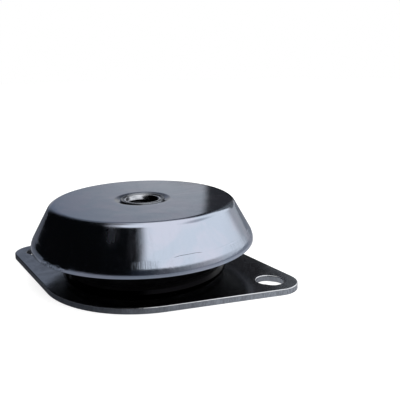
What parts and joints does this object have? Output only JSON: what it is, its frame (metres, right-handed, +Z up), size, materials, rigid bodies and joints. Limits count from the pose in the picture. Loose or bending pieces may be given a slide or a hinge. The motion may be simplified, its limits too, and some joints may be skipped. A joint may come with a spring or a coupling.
{
  "type": "rubber anti-vibration mount",
  "caption": "Bell-shaped rubber anti-vibration mount: a domed steel cap with a threaded centre on a rubber ring over a rhombic base plate with two fixing slots.",
  "frame": {"origin": "middle of the base plate's underside, on the axis of the threaded bush", "axes": "+X through the two fixing slots along the plate's length, +Y across the plate, +Z up along the thread's axis"},
  "size_m": [0.132, 0.093, 0.032],
  "materials": {
    "plate_zinc": "pressed steel sheet, bright zinc plated, smooth",
    "cap_zinc": "deep-drawn steel sheet, bright zinc plated and polished, slightly blue",
    "bush_zinc": "turned steel, zinc plated, fine turning marks",
    "rubber_black": "moulded natural rubber, satin black",
    "washer_zinc": "stamped steel, zinc plated, satin"
  },
  "bodies": {
    "base": {"base_plate": "plate_zinc", "rubber_element": "rubber_black"},
    "top": {"top_cap": "cap_zinc", "threaded_bush": "bush_zinc", "rebound_washer": "washer_zinc"}
  },
  "joints": [
    {"name": "deflection", "type": "slide", "parent": "base", "child": "top", "axis": [0, 0, 1], "range_m": [-0.005, 0.002], "stiffness_N_per_m": 300000, "deforming": ["rubber_element"]}
  ]
}
